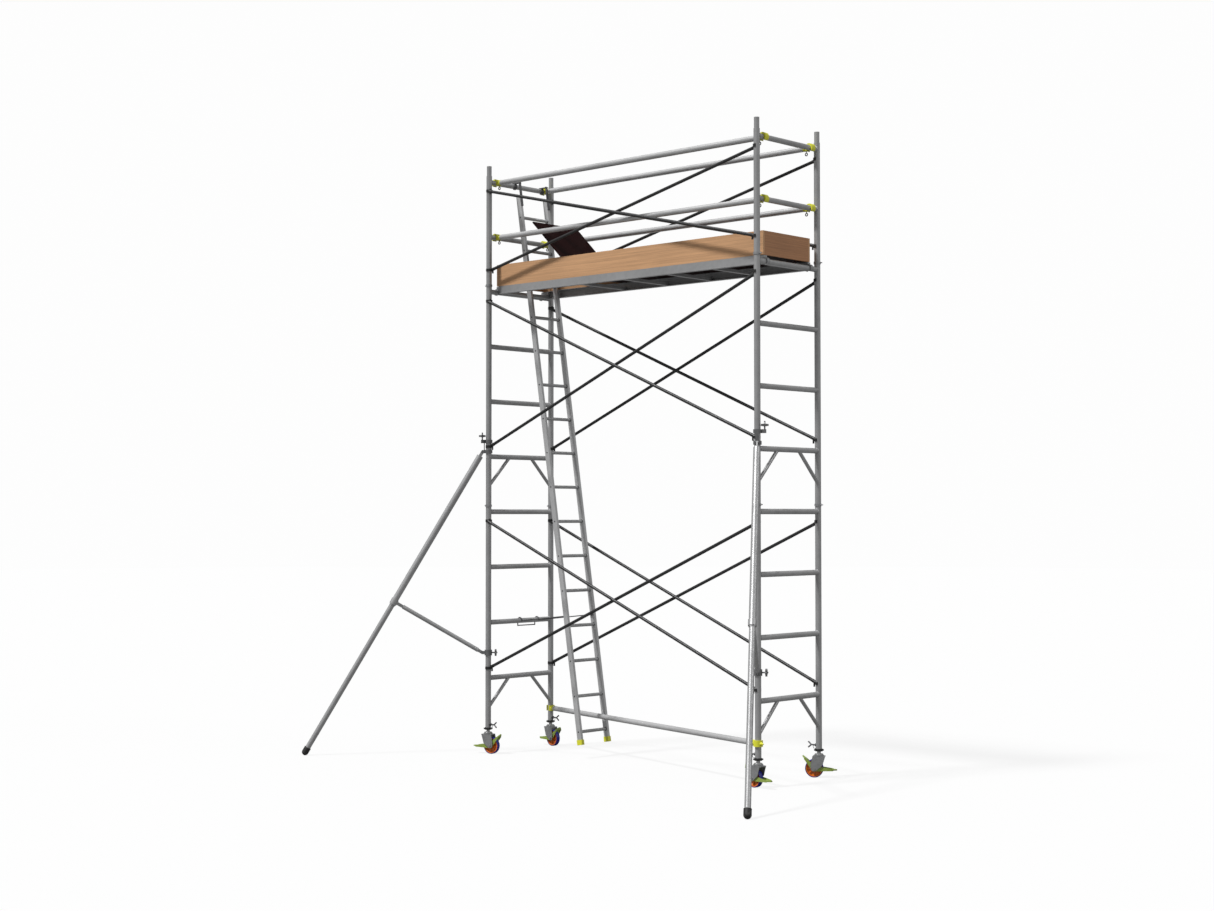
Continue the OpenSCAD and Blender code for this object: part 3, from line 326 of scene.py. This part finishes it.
def make_finishes():
    """Every finish, by the name of the record's slot or of the part of a piece that it's for."""
    c = bpy.context.scene.tower_colours
    metal, wood, skin = drawn_metal_effect(), timber_effect(), moulded_effect()

    def metal_finish(name, base, dull, low, high, lines=(60, 60, 2), metallic=0.45, bump=0.10, smear=0.4):
        values = {"Colour": rgba(base), "Dull": rgba(base, dull), "Rough Low": low,
                  "Rough High": high, "Lines": lines, "Smear": smear}
        return finish(name, metal, values, metallic, bump, 0.001)

    def skin_finish(name, base, low, high, dust=0.12, pebble=420.0, bump=0.12, coat=0.0):
        values = {"Colour": rgba(base), "Rough Low": low, "Rough High": high,
                  "Dust Amount": dust, "Pebble": pebble}
        return finish(name, skin, values, 0.0, bump, 0.0008, coat)

    def wood_finish(name, base, dark, grain, contrast=0.6, bump=0.16, distance=0.001, specular=0.5):
        values = {"Light": rgba(base), "Dark": rgba(base, dark), "Grain": grain, "Contrast": contrast}
        return finish(name, wood, values, 0.0, bump, distance, 0.0, specular)

    return {
        "aluminium_tube": metal_finish("aluminium_tube", c.aluminium, 0.72, 0.34, 0.52),
        "aluminium_rail": metal_finish("aluminium_rail", c.lit_rail, 0.78, 0.30, 0.46, (2, 60, 60)),
        "dark_tube": metal_finish("dark_tube", c.dark, 0.6, 0.38, 0.55, (4, 40, 40), 0.3, 0.08),
        "zinc_steel": metal_finish("zinc_steel", c.zinc, 0.60, 0.36, 0.56, (14, 14, 14), 0.7, 0.14, 0.8),
        "clamp_steel": metal_finish("clamp_steel", c.clamp, 0.62, 0.40, 0.62, (20, 20, 20), 0.7, 0.22, 0.6),
        "hook_steel": metal_finish("hook_steel", c.hook, 0.55, 0.38, 0.58, (40, 40, 4), 0.7, 0.12, 0.5),
        "spindle_steel": metal_finish("spindle_steel", c.lit_rail, 0.80, 0.24, 0.40, (6, 6, 90), 0.85, 0.10),
        "black_plastic": skin_finish("black_plastic", c.black, 0.38, 0.56, 0.06),
        "yellow_plastic": skin_finish("yellow_plastic", c.yellow, 0.34, 0.52, 0.10),
        "hub_orange": skin_finish("hub_orange", c.orange, 0.28, 0.44, 0.08, 300.0, 0.10, 0.2),
        "tyre_blue": skin_finish("tyre_blue", c.blue, 0.34, 0.58, 0.14, 260.0, 0.16),
        "pedal_lime": skin_finish("pedal_lime", c.lime, 0.34, 0.54, 0.22, 320.0, 0.14),
        "foot_rubber": skin_finish("foot_rubber", c.rubber, 0.58, 0.80, 0.16, 240.0, 0.25),
        "toe_board_timber": wood_finish("toe_board_timber", c.timber, 0.50, (0.8, 50, 95), 0.90),
        # The grain runs across the end boards; the darker colour is painted shade.
        "toe_board_cross_painted_shade": wood_finish("toe_board_cross_painted_shade", c.shaded_end_timber, 0.50, (50, 0.8, 95), 0.90),
        "deck_plywood": wood_finish("deck_plywood", c.deck, 0.45, (3, 12, 12), 0.7, 0.10, 0.0006, 0.04),
        "ply_edge": wood_finish("ply_edge", c.ply_edge, 0.45, (4, 4, 160), bump=0.12, distance=0.0006),
    }


FINISHES = {}
# The end toe boards take the darker timber finish, which is painted shade.
OWN_FINISH = {"toe_boards_end": "toe_board_cross_painted_shade", "platform_frame": "aluminium_tube",
              # The stabiliser legs take the darker tube finish instead of their rail slot's: painted shade on the
              # upright legs.
              "leg_left": "aluminium_tube", "leg_right": "aluminium_tube",
              "leg_extension_left": "aluminium_tube", "leg_extension_right": "aluminium_tube"}


def paint(target, *names):
    target.data.materials.clear()
    for name in names:
        target.data.materials.append(FINISHES[name])


# ---------- making pieces ----------

def piece(name, bm, body, finishes, stands_for=(), angle=40):
    """Turns a bmesh into a finished piece on a body."""
    bmesh.ops.recalc_face_normals(bm, faces=bm.faces)
    mesh = bpy.data.meshes.new(name)
    bm.to_mesh(mesh)
    bm.free()
    made = bpy.data.objects.new(name, mesh)
    bpy.context.scene.collection.objects.link(made)
    # painting puts every face back to the first finish, so faces marked for another show the first
    paint(made, *finishes)
    mesh.polygons.foreach_set("use_smooth", [True] * len(mesh.polygons))
    mesh.set_sharp_from_angle(angle=math.radians(angle))
    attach(made, body)
    if stands_for:
        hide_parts(*stands_for)
    return made


def lathe(bm, profile, steps, matrix):
    """Spins a closed profile of (radius, height) points about +Z and puts it in place."""
    points = [bm.verts.new((r, 0, z)) for r, z in profile]
    edges = [bm.edges.new((a, b)) for a, b in zip(points, points[1:] + points[:1])]
    bmesh.ops.spin(bm, geom=points + edges, cent=(0, 0, 0), axis=(0, 0, 1), angle=math.tau,
                   steps=steps, use_merge=True)
    fresh = [v for v in bm.verts if not v.tag]
    bmesh.ops.remove_doubles(bm, verts=fresh, dist=1e-6)
    fresh = [v for v in bm.verts if not v.tag]
    bmesh.ops.transform(bm, matrix=matrix, verts=fresh)
    for v in fresh:
        v.tag = True


def mirrored(half):
    """A whole profile: the half below the middle, then its mirror image above."""
    return half + [(r, -z) for r, z in reversed(half)]


def facing(at, direction):
    """Puts +Z along a direction at a point."""
    return Matrix.Translation(at) @ Vector(direction).to_track_quat("Z", "Y").to_matrix().to_4x4()


def copy_of(name):
    """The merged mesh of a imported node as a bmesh, with flat areas joined up again."""
    bm = bmesh.new()
    bm.from_mesh(NODES[name].data)
    bmesh.ops.remove_doubles(bm, verts=bm.verts, dist=1e-6)
    bmesh.ops.dissolve_limit(bm, angle_limit=math.radians(0.5), verts=bm.verts, edges=bm.edges)
    return bm


def corner(name):
    """The foot of a standard, on the ground."""
    at = JOINTS["swivel_" + name]["pos_m"]
    return Vector((at[0], at[1], 0))


# ---------- operators ----------

class TOWER_OT_finishes(Operator):
    """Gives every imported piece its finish"""
    bl_idname = "tower.finishes"
    bl_label = "Finishes"

    def execute(self, context):
        FINISHES.update(make_finishes())
        for name, packed in NODES.items():
            paint(packed, OWN_FINISH.get(name, SLOT_OF[name]))
        return {"FINISHED"}


class TOWER_OT_wheels(Operator):
    """Models each wheel's ribbed centre and rounded tread"""
    bl_idname = "tower.wheels"
    bl_label = "Wheels"

    def execute(self, context):
        sizes = context.scene.tower_sizes
        for c in CASTORS:
            joint = JOINTS["wheel_spin_" + c]
            place = facing(joint["pos_m"], joint["axis"])
            lo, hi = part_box("tyre_" + c)
            radius = (hi.z - lo.z) / 2
            seat = radius - sizes.rubber_depth
            bm = bmesh.new()
            tread = mirrored([(seat + 0.0002, -RIM_HALF - 0.001),
                              (radius - 0.0050, -TREAD_HALF + 0.0002),
                              (radius - 0.0026, -TREAD_HALF + 0.0010),
                              (radius - 0.0009, -TREAD_HALF + 0.0030),
                              (radius, -TREAD_HALF + 0.0070)])
            lathe(bm, tread, 64, place)
            piece("tread_" + c, bm, "wheel_" + c, ["tyre_blue"], ["tyre_" + c], 30)
            self.centre(c, place, seat, sizes.ribs)
        return {"FINISHED"}

    def centre(self, c, place, seat, ribs):
        bm = bmesh.new()
        centre = mirrored([(AXLE_BORE, -BOSS_HALF), (0.0165, -BOSS_HALF), (0.018, -BOSS_HALF + 0.0015),
                           (0.0185, -0.009), (0.021, -WEB_HALF), (seat - 0.012, -WEB_HALF),
                           (seat - 0.0095, -0.008), (seat - 0.0085, -0.0165), (seat - 0.007, -RIM_HALF),
                           (seat, -RIM_HALF)])
        lathe(bm, centre, 48, place)
        for i in range(ribs):
            for side in (-1, 1):
                rib = bmesh.ops.create_cube(bm, size=1)["verts"]
                length = seat - 0.009 - RIB_START
                bmesh.ops.scale(bm, vec=(length, *RIB_SIZE), verts=rib)
                bmesh.ops.translate(bm, vec=(RIB_START + length / 2, 0, side * RIB_OUT), verts=rib)
                turned = place @ Matrix.Rotation(math.tau * i / ribs, 4, "Z")
                bmesh.ops.transform(bm, matrix=turned, verts=rib)
                for v in rib:
                    v.tag = True
        piece("wheel_centre_" + c, bm, "wheel_" + c, ["hub_orange"], ["hub_" + c], 35)


class TOWER_OT_stems(Operator):
    """Cuts the thread on each castor's stem"""
    bl_idname = "tower.stems"
    bl_label = "Stems"

    def execute(self, context):
        pitch = context.scene.tower_sizes.thread_pitch
        for c in CASTORS:
            lo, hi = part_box("spindle_" + c)
            at = corner(c)
            base = JOINTS["swivel_" + c]["pos_m"][2]
            low, flange, stem, pin = lo.z, STEM_FLANGE, STEM_RADIUS, STEM_PIN
            root = stem - THREAD_DEPTH
            plate = base - 0.0085
            start = base + 0.0105
            profile = [(0.0001, low), (0.0115, low), (0.013, low + 0.0015), (0.013, plate - 0.0015),
                       (0.0115, plate), (pin, plate), (pin, start), (flange, start), (flange, start + 0.0065),
                       (flange - 0.0015, start + 0.008), (stem, start + 0.008)]
            turns = int((hi.z - start - 0.02) / pitch)
            for i in range(turns):
                z = start + 0.012 + i * pitch
                profile += [(stem, z), (stem, z + pitch * 0.28), (root, z + pitch * 0.45),
                            (root, z + pitch * 0.78)]
            profile += [(root, hi.z - 0.002), (stem - 0.0035, hi.z), (0.0001, hi.z)]
            bm = bmesh.new()
            lathe(bm, profile, 32, Matrix.Translation(at))
            piece("threaded_stem_" + c, bm, "stem_" + c, ["spindle_steel"],
                  ["spindle_" + c], 35)
        return {"FINISHED"}


class TOWER_OT_weld_beads(Operator):
    """Lays the weld bead round both ends of every frame rung"""
    bl_idname = "tower.weld_beads"
    bl_label = "Weld beads"

    def execute(self, context):
        sizes = context.scene.tower_sizes
        bm = bmesh.new()
        section = [(sizes.rung / 2 + sizes.bead * math.cos(a), sizes.bead * math.sin(a))
                   for a in (math.tau * k / 8 for k in range(8))]
        front, back = corner("lf"), corner("lb")
        for frame_at in ("lf", "rf"):
            x = corner(frame_at).x
            for k in range(RUNGS):
                z = sizes.first_rung + k * sizes.rung_pitch
                for y, out in ((front.y, 1), (back.y, -1)):
                    at = (x, y + out * (sizes.standard / 2 - 0.0015), z)
                    lathe(bm, section, 24, facing(at, (0, out, 0)))
        piece("weld_beads", bm, "tower", ["aluminium_tube"])
        return {"FINISHED"}


class TOWER_OT_ladder_ends(Operator):
    """Puts the swaged rung ends on the outside of the ladder's stiles"""
    bl_idname = "tower.ladder_ends"
    bl_label = "Ladder rung ends"

    def execute(self, context):
        sizes = context.scene.tower_sizes
        lo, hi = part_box("ladder_rungs")
        radius = sizes.ladder_rung / 2
        first = Vector((hi.x - radius, 0, lo.z + radius))
        last = Vector((lo.x + radius, 0, hi.z - radius))
        count = round((last - first).length / sizes.ladder_pitch)
        outer_lo, outer_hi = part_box("ladder_stiles")
        bm = bmesh.new()
        dome = [(0.0001, -0.001), (sizes.rivet, -0.001), (sizes.rivet, 0.0008),
                (sizes.rivet * 0.75, 0.0018), (0.0001, 0.0024)]
        for k in range(count + 1):
            at = first.lerp(last, k / count)
            inner = (outer_lo.y + sizes.stile, outer_hi.y - sizes.stile)
            for y, out in ((outer_lo.y, -1), (inner[0], 1), (inner[1], -1), (outer_hi.y, 1)):
                if y in inner:
                    collar = [(radius - 0.001, -0.001), (radius + 0.0035, -0.001),
                              (radius + 0.0030, 0.0016), (radius - 0.001, 0.0030)]
                    lathe(bm, collar, 24, facing((at.x, y, at.z), (0, out, 0)))
                else:
                    lathe(bm, dome, 20, facing((at.x, y, at.z), (0, out, 0)))
        piece("ladder_rung_ends", bm, "tower", ["hook_steel"])
        return {"FINISHED"}


class TOWER_OT_clamps(Operator):
    """Marks the star knobs' faces on the stabiliser clamps for black plastic"""
    bl_idname = "tower.clamps"
    bl_label = "Stabiliser clamps"

    def execute(self, context):
        finishes = ["clamp_steel", "black_plastic"]
        for side in SIDES:
            name = "leg_clamp_" + side
            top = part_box(name)[1].z
            bm = copy_of(name)
            for face in bm.faces:
                face.material_index = int(KNOB_BAND[1] < top - face.calc_center_median().z < KNOB_BAND[0])
            piece("coupler_" + side, bm, name, finishes, [name], 30)
            name = "strut_clamp_" + side
            axis = Vector(JOINTS["strut_clamp_swing_" + side]["pos_m"])
            bm = copy_of(name)
            far = max(((v.co - axis).xy for v in bm.verts if abs(v.co.z - axis.z) < 0.004),
                      key=lambda d: d.length)
            reach = far.normalized()
            for face in bm.faces:
                out = (face.calc_center_median() - axis).xy.dot(reach)
                face.material_index = int(SIDE_KNOB_BAND[0] < out < SIDE_KNOB_BAND[1])
            piece("lower_coupler_" + side, bm, name, finishes, [name], 30)
        return {"FINISHED"}


class TOWER_OT_trapdoor(Operator):
    """Marks the trapdoor's bare ply edge and steel straps"""
    bl_idname = "tower.trapdoor"
    bl_label = "Trapdoor"

    def execute(self, context):
        bm = copy_of("hatch")
        board = max(bm.faces, key=lambda f: f.calc_area())
        normal, at = board.normal.copy(), board.calc_center_median()
        depths = [(v.co - at).dot(normal) for f in bm.faces if f.calc_area() > BOARD_AREA for v in f.verts]
        low, high = min(depths) - BOARD_SKIN, max(depths) + BOARD_SKIN
        for face in bm.faces:
            depth = (face.calc_center_median() - at).dot(normal)
            if not low < depth < high:
                face.material_index = 2
            elif abs(face.normal.dot(normal)) < 0.5:
                face.material_index = 1
        finishes = ["deck_plywood", "ply_edge", "zinc_steel"]
        piece("trapdoor", bm, "trapdoor", finishes, ["hatch"], 30)
        return {"FINISHED"}


class TOWER_OT_deck(Operator):
    """Marks the deck's bare ply edge and sheet metal underside"""
    bl_idname = "tower.deck"
    bl_label = "Deck"

    def execute(self, context):
        bm = copy_of("deck_board")
        for face in bm.faces:
            if face.normal.z < -0.5:
                face.material_index = 2
            elif abs(face.normal.z) < 0.5:
                face.material_index = 1
        finishes = ["deck_plywood", "ply_edge", "zinc_steel"]
        piece("deck", bm, "tower", finishes, ["deck_board"], 30)
        return {"FINISHED"}


class TOWER_OT_pedals(Operator):
    """Marks the tips of the brake pedals for black plastic"""
    bl_idname = "tower.pedals"
    bl_label = "Brake pedals"

    def execute(self, context):
        for c in CASTORS:
            name = "pedal_" + c
            axle = Vector(JOINTS["brake_pedal_" + c]["pos_m"])
            bm = copy_of(name)
            arms = [(v.co - axle) for v in bm.verts]
            first = max(arms, key=lambda a: a.length)
            others = [a for a in arms if a.normalized().dot(first.normalized()) < 0.5]
            second = max(others, key=lambda a: a.length)
            tips = [(a.normalized(), a.length - PEDAL_TIP) for a in (first, second)]
            for way, start in tips:
                bmesh.ops.bisect_plane(bm, geom=bm.verts[:] + bm.edges[:] + bm.faces[:],
                                       plane_co=axle + way * start, plane_no=way)
            for face in bm.faces:
                out = face.calc_center_median() - axle
                face.material_index = int(any(out.dot(way) > start for way, start in tips))
            piece("brake_" + c, bm, "brake_" + c, ["pedal_lime", "black_plastic"], [name], 30)
        return {"FINISHED"}


# Name, strength, width in degrees and direction of each sun
SUNS = (("key", 3.7, 7, (0.20, 0.50, -0.84)),
        ("rim", 0.5, 25, (-0.8, -0.3, -0.55)))


class TOWER_OT_stage(Operator):
    """Sets the floor, the light and the camera"""
    bl_idname = "tower.stage"
    bl_label = "Stage"

    def execute(self, context):
        bm = bmesh.new()
        bmesh.ops.create_circle(bm, cap_ends=True, radius=60, segments=96)
        mesh = bpy.data.meshes.new("floor")
        bm.to_mesh(mesh)
        bm.free()
        floor = bpy.data.objects.new("floor", mesh)
        floor.location.z = -0.0005
        context.scene.collection.objects.link(floor)
        pale = bpy.data.materials.new("pale_floor")
        pale.use_nodes = True
        shader = pale.node_tree.nodes["Principled BSDF"]
        tree = pale.node_tree
        path = node(tree, "ShaderNodeLightPath")
        seen = node(tree, "ShaderNodeMix", data_type="RGBA")
        tree.links.new(path.outputs["Is Camera Ray"], seen.inputs[0])
        seen.inputs[6].default_value = (0.22, 0.22, 0.22, 1)
        seen.inputs[7].default_value = (0.09, 0.09, 0.09, 1)
        tree.links.new(seen.outputs[2], shader.inputs["Base Color"])
        glow = math_node(tree, "MULTIPLY", path.outputs["Is Camera Ray"], 0.86)
        tree.links.new(glow, shader.inputs["Emission Strength"])
        shader.inputs["Roughness"].default_value = 0.95
        shader.inputs["Specular IOR Level"].default_value = 0.0
        shader.inputs["Emission Color"].default_value = (1, 1, 1, 1)
        mesh.materials.append(pale)
        context.scene.view_settings.view_transform = "Standard"
        self.light(context.scene)
        self.camera(context.scene)
        return {"FINISHED"}

    def light(self, scene):
        world = bpy.data.worlds.new("studio")
        world.use_nodes = True
        tree = world.node_tree
        soft = tree.nodes["Background"]
        soft.inputs["Color"].default_value = (1, 1, 1, 1)
        soft.inputs["Strength"].default_value = 0.38
        shown = node(tree, "ShaderNodeBackground")
        shown.inputs["Color"].default_value = (1, 1, 1, 1)
        shown.inputs["Strength"].default_value = 0.985
        path = node(tree, "ShaderNodeLightPath")
        either = node(tree, "ShaderNodeMixShader")
        tree.links.new(path.outputs["Is Camera Ray"], either.inputs[0])
        tree.links.new(soft.outputs[0], either.inputs[1])
        tree.links.new(shown.outputs[0], either.inputs[2])
        tree.links.new(either.outputs[0], tree.nodes["World Output"].inputs["Surface"])
        scene.world = world
        for name, power, angle, direction in SUNS:
            sun = bpy.data.lights.new(name, "SUN")
            sun.energy = power
            sun.angle = math.radians(angle)
            lamp = bpy.data.objects.new(name, sun)
            lamp.rotation_euler = Vector(direction).to_track_quat("-Z", "Y").to_euler()
            scene.collection.objects.link(lamp)

    def camera(self, scene):
        lens = bpy.data.cameras.new("camera")
        lens.sensor_width = 36
        lens.lens = 55.17
        lens.clip_end = 200
        eye = bpy.data.objects.new("camera", lens)
        eye.location = corner("lf") + Vector((12.2916, -11.5998, 2.1634))
        eye.rotation_euler = (math.radians(91.788), 0, math.radians(43.019))
        scene.collection.objects.link(eye)
        scene.camera = eye


STEPS = (TOWER_OT_finishes, TOWER_OT_wheels, TOWER_OT_stems, TOWER_OT_weld_beads, TOWER_OT_ladder_ends,
         TOWER_OT_clamps, TOWER_OT_trapdoor, TOWER_OT_deck, TOWER_OT_pedals, TOWER_OT_stage)


class TOWER_PT_panel(Panel):
    """Lists the steps and their settings"""
    bl_idname = "TOWER_PT_panel"
    bl_label = "Access tower"
    bl_space_type = "VIEW_3D"
    bl_region_type = "UI"
    bl_category = "Tower"

    def draw(self, context):
        for step in STEPS:
            self.layout.operator(step.bl_idname)
        for group in (context.scene.tower_sizes, context.scene.tower_colours):
            box = self.layout.box()
            for name in group.bl_rna.properties.keys():
                if name not in ("name", "rna_type"):
                    box.prop(group, name)


CLASSES = (TowerSizes, TowerColours, *STEPS, TOWER_PT_panel)


def register():
    for cls in CLASSES:
        bpy.utils.register_class(cls)
    bpy.types.Scene.tower_sizes = PointerProperty(type=TowerSizes)
    bpy.types.Scene.tower_colours = PointerProperty(type=TowerColours)


def unregister():
    del bpy.types.Scene.tower_colours
    del bpy.types.Scene.tower_sizes
    for cls in reversed(CLASSES):
        bpy.utils.unregister_class(cls)


def main():
    register()
    for step in STEPS:
        group, name = step.bl_idname.split(".")
        getattr(getattr(bpy.ops, group), name)()


if __name__ == "__main__":
    main()
